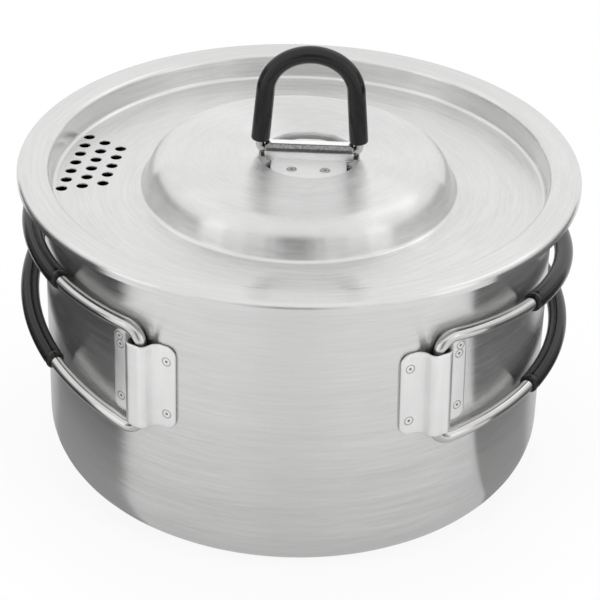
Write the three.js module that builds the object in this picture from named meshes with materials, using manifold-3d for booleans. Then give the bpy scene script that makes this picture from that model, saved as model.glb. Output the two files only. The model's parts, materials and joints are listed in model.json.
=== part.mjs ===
// Camping pot of stainless sheet: a drawn pot with two wire handles that swing open at the front,
// and a strainer lid with a standing D-shaped ring.
// Millimetres, +Z up, the front faces -Y, and the origin is on the pot's axis at its base.

import * as THREE from "three";
import { mergeVertices } from "three/addons/utils/BufferGeometryUtils.js";
import Module from "manifold-3d";

const wasm = await Module();
wasm.setup();

// Clearances
const SEAT_GAP = 0.3; // between pieces that touch on the real pot
const CHANNEL_PLAY = 0.5; // round a wire in its sheet channel
const WIRE_END_GAP = 0.8; // between the two butted ends of a wire loop

// Pot
const POT_RADIUS = 80; // outside of the straight wall
const POT_HEIGHT = 100.8; // base to the top of the rim
const POT_WALL = 0.7;
const POT_CORNER = 15; // outside radius between base and wall
const RIM_REACH = 1.6; // how far the rim bead stands out of the wall
const RIM_HEIGHT = 2.2;

// Lid
const LID_SHEET = 0.6;
const LID_OVERHANG = 8; // lid edge beyond the pot wall
const LID_LIP = 2.9; // depth of the turned-down edge
const LID_PLAY = 0.5; // between the lid's well and the inside of the pot
const WELL_DEPTH = 8.3; // flange down to the annulus
const WELL_DRAFT = 0.7; // how much narrower the well is at its floor
const ANNULUS_WIDTH = 28; // well wall in to the foot of the dome
const DOME_HEIGHT = 10.7; // annulus up to the plateau
const DOME_DRAFT = 4.5; // how far the dome's wall leans in
const DOME_SHOULDER = 8; // radius between the dome's wall and its plateau
const SHEET_BEND = 1.5; // radius of the lid's tighter bends

// Strainer holes, in three straight rows on the left of the annulus
const STRAINER_ROWS = [7, 6, 5];
const STRAINER_HOLE = 3.5; // diameter
const STRAINER_PITCH = 6; // along a row
const STRAINER_ROW_STEP = 5.9; // from row to row
const STRAINER_MARGIN = 5.3; // foot of the well wall to the outer row
const STRAINER_TURN = 7.4; // degrees from straight left towards the back

// Ring and its clip, in a round recess that lies beside the lid's axis
const RECESS_RADIUS = 15.6;
const RECESS_DEPTH = 3;
const RECESS_EDGE = 1; // radius round the recess's mouth and floor
const RECESS_OFFSET = 2.9; // along +X
const CLIP_SHEET = 1;
const CLIP_RISE = 3.2; // top of the clip's feet up to the ring's pivot
const CLIP_FEET_WIDTH = 23.7;
const CLIP_PLAY = 1.5; // clip to the wall of its recess
const CLIP_WELD_SPACING = 10.3;
const CLIP_WELD_REACH = 7.4; // from the pivot line to the welds
const RING_WIRE = 2.8; // diameter
const RING_BEND = 0.4; // inside radius where a leg turns into the clip
const RING_HEIGHT = 32.5; // pivot to the top of the arch's centre line
const RING_LEG = 19.7; // pivot to where the legs start to arch
const RING_LEAN = 1.6; // how far each leg leans in on its way to the arch
const RING_SLEEVE_WALL = 1.05;
const RING_SLEEVE_GAP = 0.4; // clip up to the sleeve's ends

// Handles and their hinge brackets
const HINGE_AZIMUTH = 32.2; // degrees from the front to each hinge
const LEFT_HINGE_HEIGHT = 62.6; // middle of the bracket
const RIGHT_HINGE_HEIGHT = 63.7;
const RIGHT_BRACKET_LEAN = 1.5; // degrees that the right bracket is welded askew, its foot to the back
const BRACKET_SHEET = 0.8;
const BRACKET_HEIGHT = 28.4;
const BRACKET_WIDTH = 23;
const BRACKET_CORNER = 3.5;
const BRACKET_FLARE = 1.6; // how far each side of the channel spreads towards its flange
const BRACKET_FILLET = 2.6; // where the flanges turn out into the channel
const BRACKET_CROWN = 2.4; // outside radius along the channel's edges
const BRACKET_WELD_SPACING = 18.3; // upper to lower weld
const BRACKET_WELD_REACH = 8.4; // from the pivot to a weld
const WELD_DIAMETER = 3;
const WELD_CROWN = 0.25; // how far a weld's pip stands out
const HANDLE_WIRE = 4; // diameter
const PIVOT_WALL_GAP = 0.5; // wire to pot wall in the hinge
const HANDLE_EASE = 2; // how much wider than the pivot's circle the handle is bent
const HANDLE_LENGTH = 120; // along the bent wire, pivot to the far end
const HANDLE_END_WIDTH = 20; // between the two wires' centre lines at the far end
const HANDLE_BEND = 5; // centre line radius next to the hinge
const HANDLE_END_BEND = 9; // centre line radius at the far end
const BEND_INSET = 1.05; // how far a bend starts inside the bracket's channel
const SLEEVE_WALL = 0.65;
const LEFT_SLEEVE_UPPER = 36.5; // along the wire, pivot to the left sleeve's upper end
const LEFT_SLEEVE_LOWER = 40; // the same to its lower end
const RIGHT_SLEEVE_UPPER = 40;
const RIGHT_SLEEVE_LOWER = 42.5;
const SLEEVE_WALL_GAP = 0.35; // sleeve end to pot wall with the handle folded
const LEFT_AJAR = 0.3; // degrees that the left handle stands further out
const LEFT_TIP = 1.6; // degrees that the left handle tips up in the play of its hinge
const LEFT_RISE = 3.8; // degrees that the left loop is bent up away from its hinge
const RIGHT_RISE = -1.2; // the same for the right loop, which droops
const LEFT_CURL = 2.3; // how far the left loop is twisted at its far end, its upper arm towards the wall

// Fineness of the round shapes
const LATHE_SIDES = 48;
const WIRE_SIDES = 10;
const SLEEVE_SIDES = 12;
const HOLE_SIDES = 10;
const ROLL_SIDES = 20;
const PATH_STEP = 6; // longest straight stretch of a bent wire
const BEND_STEPS = 4;
const SHEET_STEPS = 2; // per bend of the turned sheets
const CORNER_STEPS = 6; // round the pot's bottom corner
const ARCH_STEPS = 14;

// Sizes that follow from the ones above
const potInside = POT_RADIUS - POT_WALL;
const lidRadius = POT_RADIUS + LID_OVERHANG;
const wellTop = potInside - LID_PLAY - LID_SHEET;
const wellFoot = wellTop - WELL_DRAFT;
const domeFoot = wellFoot - ANNULUS_WIDTH;
const domeTop = domeFoot - DOME_DRAFT;
const flangeLevel = POT_HEIGHT + SEAT_GAP + LID_SHEET;
const annulusLevel = flangeLevel - WELL_DEPTH;
const plateauLevel = annulusLevel + DOME_HEIGHT;
const recessLevel = plateauLevel - RECESS_DEPTH;
const clipFeetLevel = recessLevel + SEAT_GAP + CLIP_SHEET;
const ringPivotLevel = clipFeetLevel + CLIP_RISE;
const ringRadius = RING_WIRE / 2;
const clipChannel = ringRadius + CHANNEL_PLAY;
const clipReach = RECESS_RADIUS - CLIP_PLAY;
const clipHalfLength = Math.sqrt(clipReach ** 2 - (clipChannel + CLIP_SHEET) ** 2);
const ringBend = ringRadius + RING_BEND;
const ringHalfWidth = clipHalfLength + ringBend;
const archHalfWidth = ringHalfWidth - RING_LEAN;
const ringSleeveStart = clipChannel + CLIP_SHEET + RING_SLEEVE_GAP;
const wireRadius = HANDLE_WIRE / 2;
const sleeveRadius = wireRadius + SEAT_GAP + SLEEVE_WALL;
const pivotRadius = POT_RADIUS + PIVOT_WALL_GAP + wireRadius;
const bracketChannel = wireRadius + CHANNEL_PLAY;
const handleBow = pivotRadius + HANDLE_EASE;
const handleHalfWidth = BRACKET_HEIGHT / 2 + HANDLE_BEND - BEND_INSET;
const weldRadius = WELD_DIAMETER / 2;

// Outlines: lists of corners { x, y, r }, where r rounds the corner off

const corner = (x, y, r = 0) => ({ x, y, r });

// The corners with their round stretches written out as short chords.
function roundedLine(corners, arcSteps = BEND_STEPS) {
  const points = [];
  corners.forEach((at, i) => {
    const from = corners[i - 1];
    const to = corners[i + 1];
    if (!from || !to || at.r <= 0) {
      points.push(new THREE.Vector2(at.x, at.y));
      return;
    }
    const back = new THREE.Vector2(from.x - at.x, from.y - at.y);
    const ahead = new THREE.Vector2(to.x - at.x, to.y - at.y);
    const room = Math.min(back.length() / (from.r > 0 ? 2 : 1), ahead.length() / (to.r > 0 ? 2 : 1));
    back.normalize();
    ahead.normalize();
    const half = Math.acos(THREE.MathUtils.clamp(back.dot(ahead), -1, 1)) / 2;
    const tangent = Math.min(at.r / Math.tan(half), room);
    const radius = tangent * Math.tan(half);
    const axis = back.clone().add(ahead).normalize();
    const centre = axis.clone().multiplyScalar(radius / Math.sin(half)).add(at);
    const start = back.clone().multiplyScalar(tangent).add(at).sub(centre);
    const turn = Math.sign(back.cross(ahead)) * (2 * half - Math.PI);
    for (let k = 0; k <= arcSteps; k += 1) {
      points.push(start.clone().rotateAround(new THREE.Vector2(), (turn * k) / arcSteps).add(centre));
    }
  });
  return points;
}

// The same corners moved sideways to the left of the line, with their radii grown or shrunk to match.
function offsetCorners(corners, distance) {
  const sides = corners.slice(1).map((to, i) => {
    const along = new THREE.Vector2(to.x - corners[i].x, to.y - corners[i].y).normalize();
    return { along, normal: new THREE.Vector2(-along.y, along.x) };
  });
  return corners.map((at, i) => {
    const before = sides[Math.max(i - 1, 0)];
    const after = sides[Math.min(i, sides.length - 1)];
    const turn = before.along.cross(after.along);
    const mitre = before.normal.clone().add(after.normal);
    mitre.multiplyScalar(distance / (1 + before.normal.dot(after.normal)));
    const r = at.r > 0 ? Math.max(at.r - distance * Math.sign(turn), 0.1) : 0;
    return corner(at.x + mitre.x, at.y + mitre.y, r);
  });
}

// A sheet of one thickness whose right-hand face follows the corners, as an outline that ends with that face.
function sheetOutline(corners, sheet, arcSteps) {
  const face = roundedLine(corners, arcSteps);
  const back = roundedLine(offsetCorners(corners, sheet), arcSteps);
  return back.reverse().concat(face);
}

// A strap bent into a hat: flat feet on the level, and a round-edged channel about the pivot height above it.
function hatOutline({ footReach, pivotHeight, channel, flare, fillet, crown, sheet }) {
  const side = channel + sheet;
  const top = pivotHeight + side;
  const face = [
    corner(footReach, sheet),
    corner(side + flare, sheet, fillet),
    corner(side, top, crown),
    corner(-side, top, crown),
    corner(-side - flare, sheet, fillet),
    corner(-footReach, sheet),
  ];
  return sheetOutline(face, sheet, BEND_STEPS);
}

// Solids

function welded(geometry) {
  const bare = new THREE.BufferGeometry();
  bare.setAttribute("position", geometry.getAttribute("position"));
  bare.setIndex(geometry.getIndex());
  return mergeVertices(bare, 1e-4);
}

function toSolid(geometry) {
  const merged = welded(geometry);
  const index = merged.getIndex().array;
  const triVerts = [];
  for (let i = 0; i < index.length; i += 3) {
    const [a, b, c] = index.slice(i, i + 3);
    if (a !== b && b !== c && c !== a) {
      triVerts.push(a, b, c);
    }
  }
  const vertProperties = Float32Array.from(merged.getAttribute("position").array);
  return new wasm.Manifold(new wasm.Mesh({ numProp: 3, vertProperties, triVerts: Uint32Array.from(triVerts) }));
}

function toGeometry(solid) {
  const mesh = solid.getMesh();
  const geometry = new THREE.BufferGeometry();
  geometry.setAttribute("position", new THREE.BufferAttribute(mesh.vertProperties, 3));
  geometry.setIndex(new THREE.BufferAttribute(mesh.triVerts, 1));
  return geometry;
}

const cutAway = (solid, tools) => tools.reduce((left, tool) => left.subtract(toSolid(tool)), solid);

// A profile of radius and height, turned about Z.
function turned(profile, sides = LATHE_SIDES) {
  return new THREE.LatheGeometry(profile, sides).rotateX(Math.PI / 2);
}

function prism(outline, depth) {
  return new THREE.ExtrudeGeometry(new THREE.Shape(outline), { depth, bevelEnabled: false });
}

// How much further out a regular outline's corners lie than its sides.
const flatToCorner = (sides) => 1 / Math.cos(Math.PI / sides);

// A cylinder along Z between two heights.
function rod(radius, bottom, top, sides = HOLE_SIDES) {
  const geometry = new THREE.CylinderGeometry(radius, radius, top - bottom, sides);
  return geometry.rotateX(Math.PI / 2).translate(0, 0, (bottom + top) / 2);
}

// Turns a shape drawn along Z so that it points along X, out of the pot's wall.
const outwards = new THREE.Matrix4().makeBasis(
  new THREE.Vector3(0, 1, 0),
  new THREE.Vector3(0, 0, 1),
  new THREE.Vector3(1, 0, 0),
);

// A curve through given points, sampled at those points.
class PointPath extends THREE.Curve {
  constructor(points) {
    super();
    this.points = points;
  }

  get steps() {
    return this.points.length - 1;
  }

  getPoint(t) {
    const place = THREE.MathUtils.clamp(t, 0, 1) * this.steps;
    const i = Math.min(Math.floor(place), this.steps - 1);
    return this.points[i].clone().lerp(this.points[i + 1], place - i);
  }

  getPointAt(u) {
    return this.getPoint(u);
  }

  getTangentAt(u) {
    return this.getTangent(u);
  }
}

// The points of a line with none further apart than the path step.
function closelySpaced(points) {
  const spaced = [points[0]];
  points.slice(1).forEach((to, i) => {
    const from = points[i];
    const count = Math.max(1, Math.ceil(from.distanceTo(to) / PATH_STEP));
    for (let k = 1; k <= count; k += 1) {
      spaced.push(from.clone().lerp(to, k / count));
    }
  });
  return spaced;
}

function roundSection(radius, sides) {
  const points = [];
  for (let k = 0; k < sides; k += 1) {
    const angle = (2 * Math.PI * k) / sides;
    points.push(new THREE.Vector2(radius * Math.cos(angle), radius * Math.sin(angle)));
  }
  return points;
}

function sweep(shape, points) {
  const path = new PointPath(points);
  return new THREE.ExtrudeGeometry(shape, { steps: path.steps, extrudePath: path, bevelEnabled: false });
}

function wire(points, radius) {
  return sweep(new THREE.Shape(roundSection(radius, WIRE_SIDES)), points);
}

// A soft tube round a wire, its bore clear of the wire by the seat gap.
function sleeve(points, coreRadius, wall) {
  const bore = coreRadius + SEAT_GAP;
  const shape = new THREE.Shape(roundSection((bore + wall) * flatToCorner(SLEEVE_SIDES), SLEEVE_SIDES));
  shape.holes.push(new THREE.Path(roundSection(bore * flatToCorner(SLEEVE_SIDES), SLEEVE_SIDES)));
  return sweep(shape, points);
}

// Materials

const steel = (colour, roughness) => new THREE.MeshStandardMaterial({ color: colour, roughness, metalness: 1 });
const brushedSteel = () => steel(0xc8cacb, 0.32);
const plainSteel = () => steel(0xd6d7d6, 0.45);
const brightWire = () => steel(0xc4c4c2, 0.2);
const blackSleeve = () => new THREE.MeshStandardMaterial({ color: 0x1d1e20, roughness: 0.5, metalness: 0 });

function named(name, geometry, material) {
  const mesh = new THREE.Mesh(geometry, material);
  mesh.name = name;
  return mesh;
}

// Pot body: a drawn shell with a bead round its rim

function potBody() {
  const beadFoot = POT_HEIGHT - RIM_HEIGHT;
  const beadRadius = POT_RADIUS + RIM_REACH;
  const beadEdge = Math.min(RIM_REACH, RIM_HEIGHT) / 2;
  const base = [corner(0, 0), corner(POT_RADIUS, 0, POT_CORNER), corner(POT_RADIUS, beadFoot)];
  const rim = [
    corner(POT_RADIUS, beadFoot),
    corner(beadRadius, beadFoot, beadEdge),
    corner(beadRadius, POT_HEIGHT, beadEdge),
    corner(potInside, POT_HEIGHT),
  ];
  const inside = [
    corner(potInside, POT_HEIGHT),
    corner(potInside, POT_WALL, POT_CORNER - POT_WALL),
    corner(0, POT_WALL),
  ];
  const profile = roundedLine(base, CORNER_STEPS).concat(
    roundedLine(rim, SHEET_STEPS).slice(1),
    roundedLine(inside, CORNER_STEPS).slice(1),
  );
  return named("pot_body", turned(profile), brushedSteel());
}

// Lid shell: lip, flange, well, annulus with strainer holes, dome and recess

function lidProfile() {
  const top = [
    corner(lidRadius, flangeLevel - LID_LIP),
    corner(lidRadius, flangeLevel, SHEET_BEND),
    corner(wellTop, flangeLevel, SHEET_BEND),
    corner(wellFoot, annulusLevel, SHEET_BEND),
    corner(domeFoot, annulusLevel, SHEET_BEND),
    corner(domeTop, plateauLevel, DOME_SHOULDER),
    corner(RECESS_RADIUS, plateauLevel, RECESS_EDGE),
    corner(RECESS_RADIUS, recessLevel, RECESS_EDGE),
    corner(0, recessLevel),
  ];
  return sheetOutline(top, LID_SHEET, SHEET_STEPS);
}

// Moves the recess and all that lies inside its mouth sideways across the flat plateau.
function shiftRecess(geometry) {
  const mouth = RECESS_RADIUS + 2 * RECESS_EDGE;
  const position = geometry.getAttribute("position");
  for (let i = 0; i < position.count; i += 1) {
    const x = position.getX(i);
    if (Math.hypot(x, position.getY(i)) < mouth) {
      position.setX(i, x + RECESS_OFFSET);
    }
  }
  return geometry;
}

function strainerHoles() {
  const holes = [];
  const turn = Math.PI - THREE.MathUtils.degToRad(STRAINER_TURN);
  STRAINER_ROWS.forEach((count, row) => {
    const out = wellFoot - STRAINER_MARGIN - row * STRAINER_ROW_STEP;
    for (let k = 0; k < count; k += 1) {
      const across = (k - (count - 1) / 2) * STRAINER_PITCH;
      const hole = rod(STRAINER_HOLE / 2, annulusLevel - 3 * LID_SHEET, annulusLevel + 2 * LID_SHEET);
      holes.push(hole.translate(out, across, 0).rotateZ(turn));
    }
  });
  return holes;
}

function lidShell() {
  const sheet = toSolid(shiftRecess(welded(turned(lidProfile()))));
  return named("lid_shell", toGeometry(cutAway(sheet, strainerHoles())), brushedSteel());
}

// Spot welds: each is a nugget with a low pip that goes through its flange down to the sheet behind

function weld(name, sheet) {
  const profile = [
    new THREE.Vector2(0, SEAT_GAP),
    new THREE.Vector2(weldRadius, SEAT_GAP),
    new THREE.Vector2(weldRadius, SEAT_GAP + sheet),
    new THREE.Vector2(weldRadius / 2, SEAT_GAP + sheet + WELD_CROWN),
    new THREE.Vector2(0, SEAT_GAP + sheet + WELD_CROWN),
  ];
  return named(name, turned(profile, HOLE_SIDES), plainSteel());
}

const weldHole = (sheet) => rod(weldRadius + SEAT_GAP, -sheet, SEAT_GAP + 3 * sheet);

// Ring clip: a strap rolled round the ring's bar, with two round-ended feet welded to the recess floor

const clipWelds = ["front", "rear"].flatMap((end) =>
  ["left", "right"].map((side) => ({
    name: `clip_weld_${end}_${side}`,
    x: ((side === "left" ? -1 : 1) * CLIP_WELD_SPACING) / 2,
    y: (end === "front" ? -1 : 1) * CLIP_WELD_REACH,
  })),
);

function ringClip() {
  const halfFeet = CLIP_FEET_WIDTH / 2;
  const feetTurn = Math.acos(halfFeet / clipReach);
  const plan = new THREE.Shape();
  plan.absarc(0, 0, clipReach, feetTurn, Math.PI - feetTurn, false);
  plan.absarc(0, 0, clipReach, Math.PI + feetTurn, 2 * Math.PI - feetTurn, false);
  const feet = prism(plan.getPoints(BEND_STEPS), CLIP_SHEET);
  const axis = CLIP_SHEET + CLIP_RISE;
  const along = (radius, half) => rod(radius, -half, half, ROLL_SIDES).applyMatrix4(outwards).translate(0, 0, axis);
  const roll = along(clipChannel + CLIP_SHEET, clipHalfLength);
  const bore = along(clipChannel * flatToCorner(ROLL_SIDES), 2 * clipHalfLength);
  const neckTop = axis - clipChannel - CLIP_SHEET / 2;
  const neck = new THREE.BoxGeometry(CLIP_FEET_WIDTH, 2 * CLIP_SHEET, neckTop).translate(0, 0, neckTop / 2);
  const blank = [neck, roll].reduce((joined, piece) => joined.add(toSolid(piece)), toSolid(feet));
  const holes = clipWelds.map(({ x, y }) => weldHole(CLIP_SHEET).translate(x, y, 0));
  const mesh = named("lid_ring_clip", toGeometry(cutAway(blank, [bore, ...holes])), plainSteel());
  mesh.position.z = recessLevel + SEAT_GAP;
  return mesh;
}

// Ring: a D of wire whose ends butt in the clip, with a soft sleeve over its arch

function legPoint(side, height) {
  return corner(side * THREE.MathUtils.lerp(ringHalfWidth, archHalfWidth, height / RING_LEG), height);
}

function ringArch() {
  const points = [];
  for (let k = 0; k <= ARCH_STEPS; k += 1) {
    const angle = (Math.PI * k) / ARCH_STEPS;
    const rise = (RING_HEIGHT - RING_LEG) * Math.sin(angle);
    points.push(new THREE.Vector2(archHalfWidth * Math.cos(angle), RING_LEG + rise));
  }
  return points;
}

const upright = (points) => points.map((p) => new THREE.Vector3(p.x, 0, p.y));

function ringWire() {
  const half = (side) => {
    const bar = corner((side * WIRE_END_GAP) / 2, 0);
    return roundedLine([bar, corner(side * ringHalfWidth, 0, ringBend), legPoint(side, RING_LEG)]);
  };
  const points = half(1).slice(0, -1).concat(ringArch(), half(-1).reverse().slice(1));
  return named("lid_ring_wire", wire(upright(points), ringRadius), brightWire());
}

function ringSleeve() {
  const points = [legPoint(1, ringSleeveStart), ...ringArch(), legPoint(-1, ringSleeveStart)];
  return named("lid_ring_sleeve", sleeve(upright(points), ringRadius, RING_SLEEVE_WALL), blackSleeve());
}

// Hinge brackets: each is drawn about the pot's axis with its channel on local +X

function bracket(name) {
  const hat = hatOutline({
    footReach: BRACKET_WIDTH,
    pivotHeight: PIVOT_WALL_GAP + wireRadius - SEAT_GAP,
    channel: bracketChannel,
    flare: BRACKET_FLARE,
    fillet: BRACKET_FILLET,
    crown: BRACKET_CROWN,
    sheet: BRACKET_SHEET,
  });
  const wrapped = closelySpaced(hat).map(({ x, y }) => {
    const reach = POT_RADIUS + SEAT_GAP + y;
    const angle = x / pivotRadius;
    return new THREE.Vector2(reach * Math.cos(angle), reach * Math.sin(angle));
  });
  const strap = prism(wrapped, BRACKET_HEIGHT).translate(0, 0, -BRACKET_HEIGHT / 2);
  const [w, h, r] = [BRACKET_WIDTH / 2, BRACKET_HEIGHT / 2, BRACKET_CORNER];
  const plate = [
    corner(0, h),
    corner(-w, h, r),
    corner(-w, -h, r),
    corner(w, -h, r),
    corner(w, h, r),
    corner(0, h),
  ];
  const cutter = prism(roundedLine(plate).slice(0, -1), 2 * POT_RADIUS).applyMatrix4(outwards);
  const blank = toSolid(strap).intersect(toSolid(cutter));
  const holes = bracketWelds.map(({ turn, z }) =>
    weldHole(BRACKET_SHEET).applyMatrix4(outwards).translate(POT_RADIUS, 0, z).rotateZ(turn),
  );
  return named(name, toGeometry(cutAway(blank, holes)), plainSteel());
}

const bracketWelds = [-1, 1].flatMap((along) =>
  [-1, 1].map((up) => ({
    along,
    up,
    turn: Math.asin((along * BRACKET_WELD_REACH) / POT_RADIUS),
    z: (up * BRACKET_WELD_SPACING) / 2,
  })),
);

function bracketWeld(name, { turn, z }) {
  const mesh = weld(name, BRACKET_SHEET);
  mesh.geometry.applyMatrix4(outwards).translate(POT_RADIUS, 0, z).rotateZ(turn);
  return mesh;
}

// Handles: a tapered wire loop, drawn flat as length and height and then bent round the pot

// back is 1 or -1 for the way a handle folds along Y.
const handleSides = {
  left: {
    back: -1,
    height: LEFT_HINGE_HEIGHT,
    lean: 0,
    tip: LEFT_TIP,
    ajar: LEFT_AJAR,
    rise: LEFT_RISE,
    curl: LEFT_CURL,
    sleeveUpper: LEFT_SLEEVE_UPPER,
    sleeveLower: LEFT_SLEEVE_LOWER,
  },
  right: {
    back: 1,
    height: RIGHT_HINGE_HEIGHT,
    lean: RIGHT_BRACKET_LEAN,
    tip: 0,
    ajar: 0,
    rise: RIGHT_RISE,
    curl: 0,
    sleeveUpper: RIGHT_SLEEVE_UPPER,
    sleeveLower: RIGHT_SLEEVE_LOWER,
  },
};

// Centre line of a handle with its pivot at the origin.
function bentRound(points, { back, rise, curl }) {
  const slope = Math.tan(THREE.MathUtils.degToRad(rise));
  return closelySpaced(points).map(({ x, y }) => {
    const angle = x / handleBow;
    const twist = curl * (y / handleHalfWidth) * (x / HANDLE_LENGTH) ** 2;
    const out = handleBow * (Math.cos(angle) - 1) - twist;
    return new THREE.Vector3(out, back * handleBow * Math.sin(angle), y + slope * x);
  });
}

const halfWidthAt = (length) =>
  THREE.MathUtils.lerp(handleHalfWidth, HANDLE_END_WIDTH / 2, length / HANDLE_LENGTH);

function handleWire(side) {
  const end = HANDLE_END_WIDTH / 2;
  const loop = [
    corner(0, WIRE_END_GAP / 2),
    corner(0, handleHalfWidth, HANDLE_BEND),
    corner(HANDLE_LENGTH, end, HANDLE_END_BEND),
    corner(HANDLE_LENGTH, -end, HANDLE_END_BEND),
    corner(0, -handleHalfWidth, HANDLE_BEND),
    corner(0, -WIRE_END_GAP / 2),
  ];
  const line = bentRound(roundedLine(loop), handleSides[side]);
  return named(`${side}_handle_wire`, wire(line, wireRadius), brightWire());
}

function handleSleeve(side) {
  const end = HANDLE_END_WIDTH / 2;
  const { sleeveUpper, sleeveLower } = handleSides[side];
  const cover = [
    corner(sleeveUpper, halfWidthAt(sleeveUpper)),
    corner(HANDLE_LENGTH, end, HANDLE_END_BEND),
    corner(HANDLE_LENGTH, -end, HANDLE_END_BEND),
    corner(sleeveLower, -halfWidthAt(sleeveLower)),
  ];
  const line = bentRound(roundedLine(cover), handleSides[side]);
  return named(`${side}_handle_sleeve`, sleeve(line, wireRadius, SLEEVE_WALL), blackSleeve());
}

// How far the folded handle stands out from the pot's tangent: its sleeve's nearer end just clears the wall.
function foldedAngle(side) {
  const { sleeveUpper, sleeveLower } = handleSides[side];
  const sweepAngle = Math.min(sleeveUpper, sleeveLower) / handleBow;
  const start = new THREE.Vector2(handleBow * (Math.cos(sweepAngle) - 1), handleBow * Math.sin(sweepAngle));
  const clear = POT_RADIUS + SLEEVE_WALL_GAP + sleeveRadius * flatToCorner(SLEEVE_SIDES);
  const chord = start.length();
  const cosine = (clear ** 2 - pivotRadius ** 2 - chord ** 2) / (2 * pivotRadius * chord);
  return start.angle() - Math.acos(cosine);
}

function hinge(side) {
  const { back, height, lean, tip, ajar } = handleSides[side];
  const group = new THREE.Group();
  group.position.z = height;
  group.rotation.z = THREE.MathUtils.degToRad(back * HINGE_AZIMUTH - 90);
  const seat = new THREE.Group();
  seat.rotation.x = THREE.MathUtils.degToRad(lean);
  seat.add(bracket(`${side}_hinge_bracket`));
  bracketWelds.forEach((place) => {
    const end = place.along === back ? "rear" : "front";
    const level = place.up > 0 ? "upper" : "lower";
    seat.add(bracketWeld(`${side}_bracket_weld_${end}_${level}`, place));
  });
  const handle = new THREE.Group();
  handle.position.x = pivotRadius;
  handle.rotation.x = THREE.MathUtils.degToRad(back * tip);
  handle.rotation.z = -back * (foldedAngle(side) + THREE.MathUtils.degToRad(ajar));
  handle.add(handleWire(side), handleSleeve(side));
  group.add(seat, handle);
  return group;
}

// Assembly

function ringGroup() {
  const seat = new THREE.Group();
  seat.position.x = RECESS_OFFSET;
  seat.add(ringClip());
  clipWelds.forEach(({ name, x, y }) => {
    const mesh = weld(name, CLIP_SHEET);
    mesh.position.set(x, y, recessLevel);
    seat.add(mesh);
  });
  const ring = new THREE.Group();
  ring.position.z = ringPivotLevel;
  ring.add(ringWire(), ringSleeve());
  seat.add(ring);
  return seat;
}

const campingPot = new THREE.Group();
campingPot.add(potBody(), lidShell(), ringGroup(), hinge("left"), hinge("right"));

export default campingPot;
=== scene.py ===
"""A stainless camping pot: fine surfaces and finishes round its frame, and a white studio to see it in."""

import json
import math
from collections import namedtuple

import bmesh
import bpy
import numpy as np
from bpy.props import FloatProperty, FloatVectorProperty, IntProperty, PointerProperty
from bpy.types import Operator, Panel, PropertyGroup
from mathutils import Matrix, Vector


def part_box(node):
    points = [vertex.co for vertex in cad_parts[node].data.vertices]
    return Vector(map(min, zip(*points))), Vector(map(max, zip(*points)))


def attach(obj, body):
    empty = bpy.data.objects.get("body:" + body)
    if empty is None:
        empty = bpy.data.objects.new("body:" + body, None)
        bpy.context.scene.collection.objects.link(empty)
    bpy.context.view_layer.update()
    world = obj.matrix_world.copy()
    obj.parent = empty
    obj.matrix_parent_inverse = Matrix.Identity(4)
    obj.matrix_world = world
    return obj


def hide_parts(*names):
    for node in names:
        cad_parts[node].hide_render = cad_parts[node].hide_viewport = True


bl_info = {
    "name": "Camping pot",
    "version": (1, 0, 0),
    "blender": (4, 5, 0),
    "location": "3D View > Sidebar > Camping pot",
    "description": "Builds the sheet, wire and sleeves of a camping pot round its frame, and a studio",
    "category": "Object",
}

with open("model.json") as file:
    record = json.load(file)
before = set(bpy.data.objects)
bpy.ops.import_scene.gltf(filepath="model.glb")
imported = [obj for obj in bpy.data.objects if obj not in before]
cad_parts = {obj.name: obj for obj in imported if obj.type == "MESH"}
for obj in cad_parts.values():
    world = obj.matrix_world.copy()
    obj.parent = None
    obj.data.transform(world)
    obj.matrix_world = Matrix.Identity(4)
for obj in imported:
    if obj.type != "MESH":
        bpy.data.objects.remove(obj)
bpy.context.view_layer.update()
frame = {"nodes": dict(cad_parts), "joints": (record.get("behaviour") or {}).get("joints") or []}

MM = 0.001
SIDES = ("left", "right")
JOINTS = {joint["name"]: joint for joint in frame["joints"]}
RING_PIVOT = np.array(JOINTS["ring_hinge"]["pos_m"])
HINGES = {side: np.array(JOINTS[f"{side}_handle_hinge"]["pos_m"]) for side in SIDES}
BACKWARD = {"left": -1, "right": 1}
GRAIN = "Grain"  # name of the UV map that runs along each surface

# Fineness of the surfaces

WIRE_FACETS = 24
SLEEVE_FACETS = 28
HOLE_FACETS = 28
WELD_FACETS = 32
WIRE_STEP = 0.7 * MM
SLEEVE_STEP = 0.35 * MM
STRAP_STEP = 0.45 * MM
POT_STEP = 2.5 * MM
LID_STEP = 1.6 * MM
END_POINTS = 6  # round the edge of a wire's or a sleeve's end
BORE_POINTS = 120
ARCH_POINTS = 90
STRAP_FACE_POINTS = 34
STRAP_EDGE_POINTS = 9
NECK_STEPS = 16
ROLL_STEPS = 60
MERGE_REACH = 1e-6  # points closer than this are one
STEP_SLACK = 1e-6  # keeps a side of just one step whole
CREASE = math.radians(38)  # sharper bends of the punched lid are shaded as edges

# Sizes that follow from how the pot is made

DISH_START = 2.2  # wall to the base's dish, in corner radii
DISH_FOOT = 2  # wall to the foot of the dish, in corner radii
DISH_BEND = 4 * MM
BEAD_FOOT_BEND = 0.5 * MM
BEAD_SLOPE = 0.3 * MM
BEAD_BEND = 0.9 * MM
RIM_BEND = 0.2 * MM
PUNCH_BELOW = 3 * MM
PUNCH_ABOVE = 2 * MM
STRAINER_ROWS = (7, 6, 5)
SLEEVE_PLAY = 0.1 * MM  # wire to the bore of its sleeve
SLEEVE_EDGE = 0.45  # radius round a sleeve's ends, as a share of its wall
GROOVE_INSET = 1.8 * MM  # sleeve's end to the middle of its groove
GROOVE_REACH = 0.4 * MM
PIVOT_GAP = 0.5 * MM  # handle's wire to the pot's wall
CLIP_MARK_RISE = 0.375 * MM  # middle of a weld's frame node to the face round it
BRACKET_MARK_RISE = 0.275 * MM


# Properties

def length(name, description, default):
    """A length whose default is given in millimetres."""
    return FloatProperty(name=name, description=description, default=default * MM, precision=5, unit="LENGTH")


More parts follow.
